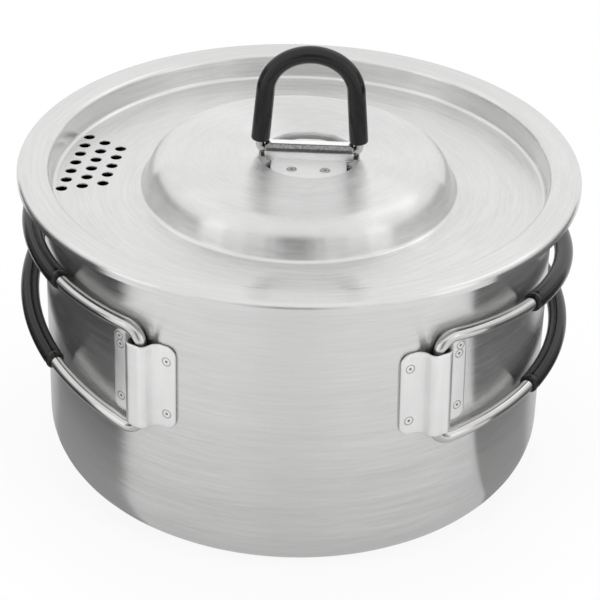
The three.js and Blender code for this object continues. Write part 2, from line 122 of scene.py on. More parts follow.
def lengths(name, description, defaults):
    """A pair of lengths whose defaults are given in millimetres."""
    metres = [default * MM for default in defaults]
    return FloatVectorProperty(name=name, description=description, default=metres, size=2, precision=5,
                               unit="LENGTH")


def angle(name, description, default):
    """An angle whose default is given in degrees."""
    return FloatProperty(name=name, description=description, default=math.radians(default), subtype="ANGLE")


def share(name, description, default):
    """A share between nought and one."""
    return FloatProperty(name=name, description=description, default=default, min=0, max=1, subtype="FACTOR")


def colour(name, description, default):
    """A colour of red, green and blue."""
    return FloatVectorProperty(name=name, description=description, default=default, min=0, max=1,
                               subtype="COLOR")


def count(name, description, default):
    """A whole number of facets."""
    return IntProperty(name=name, description=description, default=default, min=3)


class PotSizes(PropertyGroup):
    """The drawn pot."""

    height: length("Height", "Base to the top of the rim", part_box("pot_body")[1].z / MM)
    rim_reach: length("Rim reach", "How far the rim's bead stands out of the wall", 1.6)
    rim_height: length("Rim height", "Height of the rim's bead", 2.2)
    wall: length("Wall", "Thickness of the pot's sheet", 0.7)
    corner: length("Corner", "Outside radius between base and wall", 15)
    base_dish: length("Base dish", "How far the middle of the base is pressed in", 0.4)
    facets: count("Facets", "Facets round the turned sheets", 224)


class LidSizes(PropertyGroup):
    """The pressed lid with its strainer holes."""

    sheet: length("Sheet", "Thickness of the lid's sheet", 0.6)
    lip: length("Lip", "Depth of the turned-down edge", 2.9)
    edge: length("Edge", "Radius of the lid's outer edge", 1.5)
    flange_level: length("Flange level", "Height of the flange's top", 101.7)
    well_top: length("Well top", "Radius of the well at the flange", 78.2)
    well_foot: length("Well foot", "Radius of the well at its floor", 77.5)
    annulus_level: length("Annulus level", "Height of the annulus round the dome", 93.4)
    dome_foot: length("Dome foot", "Radius of the dome at the annulus", 49.5)
    dome_top: length("Dome top", "Radius of the dome at its plateau", 45)
    dome_shoulder: length("Dome shoulder", "Radius between the dome's wall and its plateau", 8)
    bend: length("Bend", "Radius of the tighter bends", 1.5)
    recess_radius: length("Recess", "Radius of the recess under the ring", 15.6)
    recess_level: length("Recess level", "Height of the recess's floor", 101.1)
    recess_edge: length("Recess edge", "Radius round the recess's mouth", 0.5)
    hole: length("Hole", "Diameter of a strainer hole", 3.5)
    hole_edge: length("Hole edge", "How far a hole's mouth is pressed down", 0.2)
    hole_pitch: length("Hole pitch", "Holes along a row", 6)
    row_step: length("Row step", "From one row of holes to the next", 5.9)
    row_reach: length("Row reach", "Axis to the outer row of holes", 72.2)
    row_turn: angle("Row turn", "The rows' middle, from straight left to the back", 7.4)


class RingSizes(PropertyGroup):
    """The ring on the lid and the clip that holds it."""

    wire: length("Wire", "Diameter of the ring's wire", 2.8)
    half_width: length("Half width", "Axis to a leg at the pivot", 15.6)
    bend: length("Bend", "Centre line radius where a leg turns into the clip", 1.8)
    lean: length("Lean", "How far a leg leans in on its way to the arch", 1.6)
    leg: length("Leg", "Pivot to where the legs start to arch", 19.7)
    rise: length("Rise", "Pivot to the top of the arch", 32.5)
    end_gap: length("End gap", "Between the wire's two ends", 0.8)
    sleeve: length("Sleeve", "Diameter of the black tube", 5.5)
    sleeve_swell: length("Sleeve swell", "How much further the tube stands out at its ends", 0.2)
    sleeve_start: length("Sleeve start", "Pivot to the sleeve's ends", 3.3)
    clip_sheet: length("Clip sheet", "Thickness of the clip", 1)
    clip_seat: length("Clip seat", "Height of the feet's underside", 101.4)
    clip_reach: length("Clip reach", "Radius of the clip's round feet", 14.1)
    clip_half_length: length("Roll length", "Half the roll's length, clear of the ring's legs", 13.85)
    clip_half_feet: length("Feet", "Half the width of the feet", 11.85)
    clip_neck: length("Clip neck", "Radius where the feet turn up into the roll", 0.8)
    channel: length("Channel", "Inside radius of the roll", 1.9)


class HandleSizes(PropertyGroup):
    """The wire handles, their sleeves and hinge brackets."""

    wire: length("Wire", "Diameter of the handle's wire", 4)
    ease: length("Ease", "How much wider than the pivot's circle the handle is bent", 2)
    reach: length("Length", "Along the bent wire, pivot to the far end", 120)
    half_width: length("Half width", "Half the loop's height at the pivot", 18.15)
    end_half_width: length("End half width", "Half the loop's height at the far end", 10)
    bend: length("Bend", "Centre line radius next to the hinge", 5)
    end_bend: length("End bend", "Centre line radius at the far end", 9)
    end_gap: length("End gap", "Between the wire's two ends", 0.8)
    left_stand_off: angle("Left stand-off", "Left handle from the wall's tangent", 1.465)
    right_stand_off: angle("Right stand-off", "Right handle from the wall's tangent", 1.0149)
    left_tip: angle("Left tip", "How the left handle tips up in the play of its hinge", 1.6)
    right_tip: angle("Right tip", "How the right handle tips up in the play of its hinge", 0)
    left_rise: angle("Left rise", "How the left loop is bent up away from its hinge", 3.8)
    right_rise: angle("Right rise", "How the right loop is bent up away from its hinge", -1.2)
    left_curl: length("Left curl", "How far the left loop is twisted, its upper arm to the wall", 2.3)
    right_curl: length("Right curl", "How far the right loop is twisted, its upper arm to the wall", 0)
    sleeve: length("Sleeve", "Diameter of the black tube", 5.9)
    sleeve_groove: length("Sleeve groove", "How deep the groove behind a sleeve's rolled ends is", 0.25)
    left_sleeve: lengths("Left sleeve", "Wire's pivot to the sleeve's upper and lower end", (36.5, 40))
    right_sleeve: lengths("Right sleeve", "Wire's pivot to the sleeve's upper and lower end", (40, 42.5))
    bracket_sheet: length("Bracket sheet", "Thickness of the bracket", 0.8)
    bracket_seat: length("Bracket seat", "Wall to the bracket's flanges", 0.3)
    bracket_height: length("Bracket height", "Height of the bracket", 28.4)
    bracket_width: length("Bracket width", "Width across the flanges", 23)
    bracket_corner: length("Bracket corner", "Radius of the flanges' corners", 3.5)
    bracket_fillet: length("Bracket fillet", "Radius where the flanges turn out into the channel", 3)
    bracket_crown: length("Bracket crown", "Radius along the channel's edges", 2)
    left_lean: angle("Left lean", "How far the left bracket is welded askew", 0)
    right_lean: angle("Right lean", "How far the right bracket is welded askew", 1.5)
    channel: length("Channel", "Inside radius of the bracket's channel", 2.5)
    flare: length("Flare", "How far the channel's sides spread at the flanges", 1.6)


class WeldSizes(PropertyGroup):
    """The spot welds' pressed marks."""

    radius: length("Radius", "Outside of a weld's ring", 1.75)
    ring: length("Ring", "How far a weld's ring stands out", 0.16)
    pip: length("Pip", "How far a weld's middle stands out", 0.28)
    second_rise: length("Second mark", "From an upper rear weld up to its second mark", 2.7)
    second_shift: length("Second mark's shift", "How far that mark lies further to the rear", 0.4)


class FinishSettings(PropertyGroup):
    """Colours and finishes."""

    sheet: colour("Sheet", "Brushed steel of the pot and lid", (0.76, 0.76, 0.755))
    strap: colour("Brackets", "Plain steel of the brackets", (0.93, 0.93, 0.925))
    clip: colour("Clip", "Plain steel of the ring's clip", (0.98, 0.98, 0.975))
    wire: colour("Wire", "Bright drawn wire", (0.66, 0.655, 0.645))
    weld: colour("Welds", "Pressed weld marks", (0.60, 0.60, 0.59))
    sleeve: colour("Sleeves", "Black soft tube", (0.006, 0.006, 0.0063))
    brushing: share("Brushing", "How strongly the sheet's gloss is drawn out across the brushing", 1)


class StageSettings(PropertyGroup):
    """Camera and light."""

    azimuth: angle("Azimuth", "Camera round the pot, from the front to the right", 1.2)
    elevation: angle("Elevation", "Camera above the horizon", 31.01)
    roll: angle("Roll", "Camera turned about its own view", 1.6)
    distance: length("Distance", "Camera to the point that it looks at", 738.2)
    aim_height: length("Aim height", "Height of the point that the camera looks at", 50.85)
    aim_side: length("Aim side", "How far that point lies to the right of the axis", 1.29)
    lens: FloatProperty(name="Lens", description="Focal length", default=136.62, unit="CAMERA")
    floor: colour("Floor", "The pale floor", (0.86, 0.86, 0.86))
    surround: share("Surround", "How bright the steel sees the studio's walls", 1.0)
    dark_near: share("Dark floor near", "How bright the steel sees the dark floor next to the pot", 0.34)
    left_dark: share("Left dark floor", "How bright the steel sees the floor far out on the left", 0.05)
    right_dark: share("Right dark floor", "How bright the steel sees the floor far out on the right", 0.13)


class CampingPot(PropertyGroup):
    """All settings of the pot."""

    pot: PointerProperty(type=PotSizes)
    lid: PointerProperty(type=LidSizes)
    ring: PointerProperty(type=RingSizes)
    handle: PointerProperty(type=HandleSizes)
    weld: PointerProperty(type=WeldSizes)
    finish: PointerProperty(type=FinishSettings)
    stage: PointerProperty(type=StageSettings)


# Lines

def unit(arrows):
    """The same directions, each with a length of one."""
    return arrows / np.linalg.norm(arrows, axis=-1, keepdims=True)


def arc_at(before, at, after, radius, steps):
    """The arc of the given radius that touches both sides of a corner, limited to half of each side."""
    back, ahead = before - at, after - at
    room = min(np.linalg.norm(back), np.linalg.norm(ahead)) / 2
    back, ahead = unit(back), unit(ahead)
    half = math.acos(float(np.clip(back @ ahead, -1, 1))) / 2
    tangent = min(radius / math.tan(half), room)
    centre = at + unit(back + ahead) * tangent / math.cos(half)
    start, end = at + back * tangent - centre, at + ahead * tangent - centre
    sweep = math.pi - 2 * half
    t = np.linspace(0, 1, steps + 1)[:, None]
    return centre + (np.sin((1 - t) * sweep) * start + np.sin(t * sweep) * end) / math.sin(sweep)


def rounded_line(corners, steps=10):
    """A flat line through corners (x, y, radius), with an arc in place of each corner that has a radius."""
    spots = np.array([corner[:2] for corner in corners], float)
    radii = [corner[2] if len(corner) > 2 else 0 for corner in corners]
    stretches = [spots[:1]]
    for i in range(1, len(spots) - 1):
        if radii[i] > 0:
            stretches.append(arc_at(spots[i - 1], spots[i], spots[i + 1], radii[i], steps))
        else:
            stretches.append(spots[i:i + 1])
    return np.vstack([*stretches, spots[-1:]])


def refined(line, longest):
    """The same line, with each side longer than the limit split into equal steps."""
    sides = np.diff(line, axis=0)
    steps = np.maximum(1, np.ceil(np.linalg.norm(sides, axis=1) / longest - STEP_SLACK)).astype(int)
    start = np.repeat(line[:-1], steps, axis=0)
    step = np.repeat(sides / steps[:, None], steps, axis=0)
    place = np.arange(steps.sum()) - np.repeat(np.cumsum(steps) - steps, steps)
    return np.vstack([start + step * place[:, None], line[-1:]])


def left_normals(line):
    """Unit normals to the left of a flat line, from the direction between each point's neighbours."""
    ahead = unit(np.gradient(line, axis=0))
    return np.stack([-ahead[:, 1], ahead[:, 0]], axis=1)


def run_lengths(line):
    """How far along a line each of its points lies."""
    return np.concatenate([[0], np.cumsum(np.linalg.norm(np.diff(line, axis=0), axis=1))])


def at_lengths(line, values, lengths):
    """Rows of values that belong to the line's points, read off at the given lengths along it."""
    run = run_lengths(line)
    return np.stack([np.interp(lengths, run, column) for column in values.T], axis=1)


# Surfaces

def in_scene(name, data):
    """A new object in the scene, at the origin."""
    made = bpy.data.objects.new(name, data)
    bpy.context.scene.collection.objects.link(made)
    return made


def surface(name, points, u, v):
    """A closed mesh from a grid of points: neighbours become quads, and points that coincide are merged."""
    rows, columns = points.shape[:2]
    index = np.arange(rows * columns).reshape(rows, columns)
    quads = np.stack([index[:-1, :-1], index[:-1, 1:], index[1:, 1:], index[1:, :-1]], -1).reshape(-1, 4)
    mesh = bpy.data.meshes.new(name)
    mesh.from_pydata(points.reshape(-1, 3), [], quads.tolist())
    uv = np.stack(np.broadcast_arrays(np.asarray(u)[:, None], np.asarray(v)[None, :]), -1).reshape(-1, 2)
    mesh.uv_layers.new(name=GRAIN).data.foreach_set("uv", uv[quads.ravel()].ravel())
    shell = bmesh.new()
    shell.from_mesh(mesh)
    bmesh.ops.remove_doubles(shell, verts=shell.verts, dist=MERGE_REACH)
    bmesh.ops.recalc_face_normals(shell, faces=shell.faces)
    shell.to_mesh(mesh)
    shell.free()
    mesh.shade_smooth()
    return in_scene(name, mesh)


def turned(name, profile, facets, shift=0.0):
    """A profile of (radius, height) carried round Z; shift moves each ring along X."""
    turn = np.linspace(0, 2 * math.pi, facets + 1) + math.pi / 2
    radius, height = profile[:, :1], profile[:, 1:]
    sideways = np.broadcast_to(np.asarray(shift, float), len(profile))[:, None]
    level = np.broadcast_to(height, (len(profile), len(turn)))
    points = np.stack([radius * np.cos(turn) + sideways, radius * np.sin(turn), level], -1)
    return surface(name, points, run_lengths(profile), turn / (2 * math.pi))


def tube(name, path, normals, lengths, radii, facets):
    """Circles of the given radii set square to a path at the given lengths along it."""
    centre = at_lengths(path, path, lengths)
    tangent = unit(at_lengths(path, unit(np.gradient(path, axis=0)), lengths))
    normal = at_lengths(path, normals, lengths)
    normal = unit(normal - tangent * np.sum(normal * tangent, axis=1, keepdims=True))
    side = np.cross(tangent, normal)
    turn = np.linspace(0, 2 * math.pi, facets + 1)
    spokes = np.cos(turn)[:, None] * normal[:, None] + np.sin(turn)[:, None] * side[:, None]
    points = centre[:, None] + np.asarray(radii)[:, None, None] * spokes
    return surface(name, points, lengths, turn / (2 * math.pi))


def wire_piece(name, path, normals, diameter):
    """A round wire along a path, with softly rounded ends."""
    radius = diameter / 2
    total = run_lengths(path)[-1]
    bow = np.linspace(0, math.pi / 2, END_POINTS)
    edge = radius / 3
    ends = edge * (1 - np.cos(bow))
    taper = radius - edge + edge * np.sin(bow)
    middle = np.linspace(edge, total - edge, int(total / WIRE_STEP))
    lengths = np.concatenate([[0], ends, middle[1:-1], total - ends[::-1], [total]])
    radii = np.concatenate([[0], taper, np.full(len(middle) - 2, radius), taper[::-1], [0]])
    return tube(name, path, normals, lengths, radii, WIRE_FACETS)


def sleeve_piece(name, path, normals, ends, bore, diameter, groove=0.0, swell=0.0):
    """A soft tube over a stretch of wire: outside from end to end, with a round edge and a shallow groove
    behind it at each end, then back through its bore. The groove is a bell curve of the distance from the
    end, and the tube swells by a squared cosine from its middle, where the bend draws it thin, to both
    ends."""
    first, last = ends
    outside = diameter / 2
    edge = (outside - bore) * SLEEVE_EDGE
    bow = np.linspace(0, math.pi / 2, END_POINTS)
    run = np.linspace(first + edge, last - edge, int((last - first) / SLEEVE_STEP))
    inset = edge * (1 - np.cos(bow))
    lengths = np.concatenate([first + inset, run[1:-1], last - inset[::-1]])
    ring = edge * (1 - np.sin(bow))
    radii = outside - np.concatenate([ring, np.zeros(len(run) - 2), ring[::-1]])
    inside = np.minimum(lengths - first, last - lengths)
    radii = radii - groove * np.exp(-((inside - GROOVE_INSET) / GROOVE_REACH) ** 2)
    radii = radii + swell * np.sin(np.pi * (lengths - first) / (last - first) + np.pi / 2) ** 2
    back = np.linspace(last, first, BORE_POINTS)
    lengths = np.concatenate([lengths, back, lengths[:1]])
    radii = np.concatenate([radii, np.full(len(back), bore), radii[:1]])
    return tube(name, path, normals, lengths, radii, SLEEVE_FACETS)


def hat_line(half_span, seat, top, half_width, flare, fillet, crown):
    """Middle line of a strap bent into a hat: feet at the seat's level, a channel with spreading sides."""
    foot = half_width + flare
    corners = [(half_span, seat), (foot, seat, fillet), (half_width, top, crown), (-half_width, top, crown),
               (-foot, seat, fillet), (-half_span, seat)]
    return refined(rounded_line(corners), STRAP_STEP)


def arc(centre, radius, start, end, steps):
    """Points of a flat circle from one angle to another."""
    turn = np.linspace(start, end, steps + 1)
    return np.array(centre) + radius * np.stack([np.cos(turn), np.sin(turn)], axis=1)


def rolled_line(reach, seat, pivot, radius, neck):
    """Middle line of a strap rolled round a bar: along one foot, up through a tight neck that touches both
    the foot and the roll, round the roll, and down through the other neck to the other foot."""
    drop = pivot - seat - neck
    aside = math.sqrt((radius + neck) ** 2 - drop ** 2)
    touch = math.atan2(drop, aside)
    near = arc((aside, seat + neck), neck, -math.pi / 2, -math.pi - touch, NECK_STEPS)
    roll = arc((0, pivot), radius, -touch, math.pi + touch, ROLL_STEPS)
    half = np.vstack([[(reach, seat)], near])
    return refined(np.vstack([half, roll[1:-1], half[::-1] * (-1, 1)]), STRAP_STEP)


def strap(name, line, half_heights, sheet, placed):
    """A sheet of even thickness along a middle line, with round edges. At each point of the line the
    section is a slot-shaped loop: straight on both faces, and a half circle round each edge. placed turns
    (along, out, up) into the row frame."""
    half = sheet / 2
    run = run_lengths(line)
    inset = np.minimum(run, run[-1] - run)
    thin = half * np.sqrt(np.clip(1 - (1 - np.minimum(inset / half, 1)) ** 2, 0, 1))
    normal = left_normals(line)
    rise = np.linspace(-1, 1, STRAP_FACE_POINTS)
    bow = np.linspace(math.pi / 2, -math.pi / 2, STRAP_EDGE_POINTS)[1:-1]
    face = np.concatenate([np.ones_like(rise), np.sin(bow), -np.ones_like(rise), -np.sin(bow), [1.0]])
    straight = np.concatenate([rise, np.ones_like(bow), -rise, -np.ones_like(bow), [-1.0]])
    round_off = np.concatenate([0 * rise, np.cos(bow), 0 * rise, -np.cos(bow), [0.0]])
    out = line[:, None] + normal[:, None] * (thin[:, None] * face)[..., None]
    up = straight * (half_heights - thin)[:, None] + thin[:, None] * round_off
    points = placed(np.concatenate([out, up[..., None]], axis=-1))
    return surface(name, points, run, np.arange(len(face)) * MM)


# Materials

NOISE_RANGE = (0.3, 0.7)  # where most of a noise's values lie
EVEN = (1, 1, 1)
RECESS_MARGIN = 0.1 * MM
HOLLOW_DEPTH = 2.4 * MM  # recess's floor to just under the bend of its mouth
SHADED_CORNER_START = 3 * MM  # clip's bar to the recess's corners, which carry painted shade
PLATEAU_FADE = (0.5 * MM, 3 * MM)  # recess's floor to where the plateau's duller finish and painted light start and are full
POLISH_FADE = (-0.2 * MM, 0.4 * MM)  # ring's pivot to where the roll's polish starts and is full
POLISH_ROUGHNESS = (0.7, 0.12)
REFLECTION_BAND_STOPS = ((0.035, 0), (0.055, 1), (0.32, 1), (0.35, 0))  # where the roll carries a painted dark reflection, in half turns from the front
WELD_RUN = 2.2  # length of a weld mark's section, in radii
WELD_STOPS = ((0.5, 0.65), (0.58, 1), (0.65, 1), (0.7, 0.6), (0.76, 1), (0.86, 1), (0.92, 0.4), (1, 0.4))


def fill_in(tree, made, inputs):
    """Sets each of a node's inputs to a value, or links it to a socket."""
    for key, value in inputs.items():
        if isinstance(value, bpy.types.NodeSocket):
            tree.links.new(value, made.inputs[key])
        else:
            made.inputs[key].default_value = value


def node(tree, kind, inputs=None, **settings):
    """A node with its settings and inputs."""
    made = tree.nodes.new(kind)
    for key, value in settings.items():
        setattr(made, key, value)
    fill_in(tree, made, inputs or {})
    return made


def maths(tree, operation, first, second=0.0):
    """A number made from one or two others."""
    return node(tree, "ShaderNodeMath", {0: first, 1: second}, operation=operation).outputs[0]


def weighed(tree, first, first_share, second, second_share):
    """Two numbers added up, each times its share."""
    return maths(tree, "ADD", maths(tree, "MULTIPLY", first, first_share),
                 maths(tree, "MULTIPLY", second, second_share))


def vectors(tree, operation, first, second=(0, 0, 0)):
    """A vector made from one or two others."""
    return node(tree, "ShaderNodeVectorMath", {0: first, 1: second}, operation=operation).outputs[0]


def reach_of(tree, vector):
    """How long a vector is."""
    return node(tree, "ShaderNodeVectorMath", {0: vector}, operation="LENGTH").outputs["Value"]


def parts_of(tree, vector):
    """A vector's X, Y and Z."""
    return node(tree, "ShaderNodeSeparateXYZ", {0: vector}).outputs


def object_place(tree):
    """The place on a piece, which is also its place on the pot at rest."""
    return node(tree, "ShaderNodeTexCoord").outputs["Object"]


def ranged(tree, value, start, end, low=0.0, high=1.0):
    """A value between two limits, carried over evenly to a range and held at its ends."""
    limits = {"Value": value, "From Min": start, "From Max": end, "To Min": low, "To Max": high}
    return node(tree, "ShaderNodeMapRange", limits).outputs["Result"]


def spread(tree, value, low=0.0, high=1.0):
    """Noise, which gathers near a half, stretched over a range."""
    return ranged(tree, value, *NOISE_RANGE, low, high)


def shade(tree, factor, tint, low, high):
    """A tint made darker and lighter by a factor."""
    dark = (*(min(1, part * low) for part in tint), 1)
    light = (*(min(1, part * high) for part in tint), 1)
    return node(tree, "ShaderNodeMix", {0: factor, 6: dark, 7: light}, data_type="RGBA").outputs[2]


def relief(tree, height, strength, depth):
    """Normals bent by a height."""
    bump = {"Strength": strength, "Distance": depth, "Height": height}
    return node(tree, "ShaderNodeBump", bump).outputs[0]


def new_material(name, values):
    """A material with one shader, whose plain values are set on its own sockets."""
    material = bpy.data.materials.new(name)
    material.use_nodes = True
    tree = material.node_tree
    shader = tree.nodes["Principled BSDF"]
    fill_in(tree, shader, values)
    return material, tree, shader


def ringed_noise(tree, along, across, detail):
    """Noise drawn out in rings round Z: slow along the ring, fine from ring to ring."""
    place = object_place(tree)
    flat = vectors(tree, "MULTIPLY", place, (1, 1, 0))
    bearing = vectors(tree, "NORMALIZE", flat)
    climb = maths(tree, "ADD", reach_of(tree, flat), parts_of(tree, place)["Z"])
    ring = maths(tree, "MULTIPLY", climb, 1 / across)
    drawn = node(tree, "ShaderNodeVectorMath", {0: bearing, "Scale": along}, operation="SCALE").outputs[0]
    stacked = node(tree, "ShaderNodeCombineXYZ", {"Z": ring}).outputs[0]
    grain = {"Vector": vectors(tree, "ADD", drawn, stacked), "Scale": 1, "Detail": detail, "Roughness": 0.65}
    return node(tree, "ShaderNodeTexNoise", grain).outputs["Fac"]


def clouded(tree, scale, detail, stretch=EVEN):
    """Soft noise through the piece, stretched along its axes."""
    mapped = node(tree, "ShaderNodeMapping", {"Vector": object_place(tree), "Scale": stretch}).outputs[0]
    cloud = {"Vector": mapped, "Scale": scale, "Detail": detail}
    return node(tree, "ShaderNodeTexNoise", cloud).outputs["Fac"]


def ramped(tree, value, stops):
    """A grey that follows a value through the given stops of (value, level), which lie between 0 and 1."""
    ramp = node(tree, "ShaderNodeValToRGB", {"Fac": value})
    for spot, _ in stops[2:]:
        ramp.color_ramp.elements.new(spot)
    for element, (spot, level) in zip(ramp.color_ramp.elements, stops):
        element.position = spot
        element.color = (level, level, level, 1)
    return ramp.outputs["Color"]


def darkened(material, level):
    """Multiplies a material's colour by a grey."""
    tree = material.node_tree
    shader = tree.nodes["Principled BSDF"]
    tint = shader.inputs["Base Color"].links[0].from_socket
    mix = node(tree, "ShaderNodeMix", {0: 1.0, 6: tint, 7: level}, data_type="RGBA", blend_type="MULTIPLY")
    tree.links.new(mix.outputs[2], shader.inputs["Base Color"])


def recess_masks(tree, settings):
    """Three values that are one on the lid's plateau, inside its recess, and in the recess's corners beside
    the clip's feet, and nought everywhere else. The corners' value carries painted shade, and the plateau's
    value painted light."""
    lid, ring = settings.lid, settings.ring
    middle = (float(RING_PIVOT[0]), 0, lid.recess_level)
    beside = vectors(tree, "SUBTRACT", object_place(tree), middle)
    spot = parts_of(tree, beside)
    inside = maths(tree, "LESS_THAN", reach_of(tree, beside), lid.recess_radius + RECESS_MARGIN)
    low = maths(tree, "LESS_THAN", spot["Z"], HOLLOW_DEPTH)
    aside = maths(tree, "GREATER_THAN", maths(tree, "ABSOLUTE", spot["X"]), ring.clip_half_feet)
    ahead = maths(tree, "GREATER_THAN", maths(tree, "ABSOLUTE", spot["Y"]), SHADED_CORNER_START)
    hollow = maths(tree, "MULTIPLY", inside, low)
    plateau = maths(tree, "SUBTRACT", ranged(tree, spot["Z"], *PLATEAU_FADE), hollow)
    corners = maths(tree, "MULTIPLY", hollow, maths(tree, "MULTIPLY", aside, ahead))
    return plateau, hollow, corners


def brushed_sheet(name, settings):
    """Steel brushed in circles: fine rings vary its shade, gloss and relief, and slow ones cloud it. The
    lid's plateau and recess are duller, the plateau is painted paler, a painted light, and the recess's
    corners are painted dark, a painted shade."""
    finish = settings.finish
    material, tree, shader = new_material(name, {"Metallic": 1, "Anisotropic": finish.brushing})
    fine = ringed_noise(tree, along=5, across=1.0 * MM, detail=4)
    slow = ringed_noise(tree, along=1.6, across=5 * MM, detail=2)
    mixed = weighed(tree, fine, 0.6, slow, 0.4)
    plateau, hollow, corners = recess_masks(tree, settings)
    duller = weighed(tree, plateau, 0.1, hollow, 0.4)
    fill_in(tree, shader, {
        "Base Color": shade(tree, spread(tree, mixed), finish.sheet, low=0.9, high=1.07),
        "Roughness": maths(tree, "ADD", spread(tree, mixed, low=0.18, high=0.27), duller),
        "Tangent": node(tree, "ShaderNodeTangent", direction_type="UV_MAP", uv_map=GRAIN).outputs[0],
        "Normal": relief(tree, fine, strength=0.4, depth=0.06 * MM),
    })
    # painted light that makes the plateau paler, and painted shade in the recess's corners
    painted_plateau_light = maths(tree, "ADD", 1, maths(tree, "MULTIPLY", plateau, 0.07))
    darkened(material, maths(tree, "SUBTRACT", painted_plateau_light, maths(tree, "MULTIPLY", corners, 0.8)))
    return material


def plain_metal(name, tint, scale, stretch=EVEN, gloss=None):
    """Rolled or drawn steel with faint lines along its grain and soft clouding, which also vary its gloss
    if it has one of its own."""
    material, tree, shader = new_material(name, {"Metallic": 1})
    grain = clouded(tree, scale, 4, stretch)
    mixed = weighed(tree, grain, 0.5, clouded(tree, scale=90, detail=3), 0.5)
    fill_in(tree, shader, {
        "Base Color": shade(tree, spread(tree, mixed), tint, low=0.92, high=1.05),
        "Normal": relief(tree, grain, strength=0.1, depth=0.02 * MM),
    })
    if gloss is not None:
        fill_in(tree, shader, {"Roughness": spread(tree, mixed, low=gloss * 0.8, high=gloss * 1.25)})
    return material


def rolled_strap(name, settings):
    """Plain steel of the brackets, with its grain upright."""
    return plain_metal(name, settings.finish.strap, scale=400, stretch=(1, 1, 0.12), gloss=0.42)


def drawn_wire(name, settings):
    """Bright steel of the handles and the ring."""
    return plain_metal(name, settings.finish.wire, scale=300, gloss=0.13)


def clip_steel(name, settings):
    """Plain steel, polished on the upper half of the roll, dull below it and on its feet, and with a dark
    mottled band of painted reflection along the roll's upper front, read off the angle round the bar."""
    material = plain_metal(name, settings.finish.clip, scale=500, stretch=(0.15, 1, 1))
    tree = material.node_tree
    spot = parts_of(tree, object_place(tree))
    rise = maths(tree, "SUBTRACT", spot["Z"], float(RING_PIVOT[2]))
    gloss = ranged(tree, rise, *POLISH_FADE, *POLISH_ROUGHNESS)
    fill_in(tree, tree.nodes["Principled BSDF"], {"Roughness": gloss})
    # painted reflection: a dark mottled band round the roll's upper front
    turn = maths(tree, "ARCTAN2", rise, maths(tree, "MULTIPLY", spot["Y"], -1))
    reflection_band = ramped(tree, maths(tree, "DIVIDE", turn, math.pi), REFLECTION_BAND_STOPS)
    mottled_reflection = spread(tree, clouded(tree, scale=1500, detail=3), low=0.2, high=0.38)
    darkened(material, node(tree, "ShaderNodeMix", {0: reflection_band, 2: 1.0, 3: mottled_reflection}).outputs[0])
    return material


def weld_steel(name, settings):
    """Steel of the weld marks: a dark pip, and dark slopes on both sides of the ring, read off the length
    along its section."""
    material = plain_metal(name, settings.finish.weld, scale=900, gloss=0.3)
    tree = material.node_tree
    along = parts_of(tree, node(tree, "ShaderNodeUVMap", uv_map=GRAIN).outputs[0])["X"]
    place = maths(tree, "DIVIDE", along, WELD_RUN * settings.weld.radius)
    darkened(material, ramped(tree, place, WELD_STOPS))
    return material


def black_sleeve(name, settings):
    """Soft black tube: a dull skin with a fine pebble and slight patches of handling."""
    material, tree, shader = new_material(name, {"Specular IOR Level": 0.42, "IOR": 1.5})
    patches = clouded(tree, scale=60, detail=3)
    fill_in(tree, shader, {
        "Base Color": shade(tree, spread(tree, patches), settings.finish.sleeve, low=0.8, high=1.3),
        "Roughness": spread(tree, patches, low=0.15, high=0.21),
        "Normal": relief(tree, clouded(tree, scale=2600, detail=2), strength=0.1, depth=0.03 * MM),
    })
    return material


FINISHES = {
    "circle_brushed_steel": brushed_sheet,
    "rolled_strap": rolled_strap,
    "polished_clip": clip_steel,
    "drawn_wire": drawn_wire,
    "weld_mark": weld_steel,
    "black_tube": black_sleeve,
}


def finished(piece, body, finish, slot, *nodes):
    """Gives a piece its finish, which is made when the first piece needs it, and its body, and lets it stand
    for its frame nodes. Its slot is not used."""
    settings = bpy.context.scene.camping_pot
    piece.data.materials.append(bpy.data.materials.get(finish) or FINISHES[finish](finish, settings))
    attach(piece, body)
    if nodes:
        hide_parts(*nodes)


# Pieces

def pot_profile(pot):
    """Base, round corner, wall, rim bead, then the inside wall back down to the middle of the base."""
    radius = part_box("pot_body")[1].x - pot.rim_reach
    inside = radius - pot.wall
    bead_foot = pot.height - pot.rim_height
    bead = radius + pot.rim_reach
    section = [(0, pot.base_dish), (radius - DISH_START * pot.corner, pot.base_dish, DISH_BEND),
               (radius - DISH_FOOT * pot.corner, 0, DISH_BEND), (radius, 0, pot.corner),
               (radius, bead_foot, BEAD_FOOT_BEND), (bead, bead_foot + BEAD_SLOPE, BEAD_BEND),
               (bead, pot.height, BEAD_BEND), (inside, pot.height, RIM_BEND),
               (inside, pot.wall, pot.corner - pot.wall), (0, pot.wall + pot.base_dish)]
    return refined(rounded_line(section), POT_STEP)


def lid_profile(lid):
    """Top of the lid from the middle of its recess out to the lip, then the underside back to the middle."""
    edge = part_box("lid_shell")[1].x
    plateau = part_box("lid_shell")[1].z
    top = [(0, lid.recess_level), (lid.recess_radius, lid.recess_level, lid.recess_edge),
           (lid.recess_radius, plateau, lid.recess_edge), (lid.dome_top, plateau, lid.dome_shoulder),
           (lid.dome_foot, lid.annulus_level, lid.bend), (lid.well_foot, lid.annulus_level, lid.bend),
           (lid.well_top, lid.flange_level, lid.bend), (edge, lid.flange_level, lid.edge),
           (edge, lid.flange_level - lid.lip)]
    upper = refined(rounded_line(top), LID_STEP)
    lower = upper - left_normals(upper) * lid.sheet
    lower[0, 0] = 0
    return np.vstack([upper, lower[::-1]])


def recess_shift(lid, profile):
    """Rings in the recess's mouth lie beside the axis, and rings across the plateau close the difference."""
    offset = RING_PIVOT[0]
    mouth = lid.recess_radius + 2 * lid.recess_edge
    plain = lid.dome_top - lid.dome_shoulder
    t = np.clip((profile[:, 0] - mouth) / (plain - mouth), 0, 1)
    return offset * (1 - t)


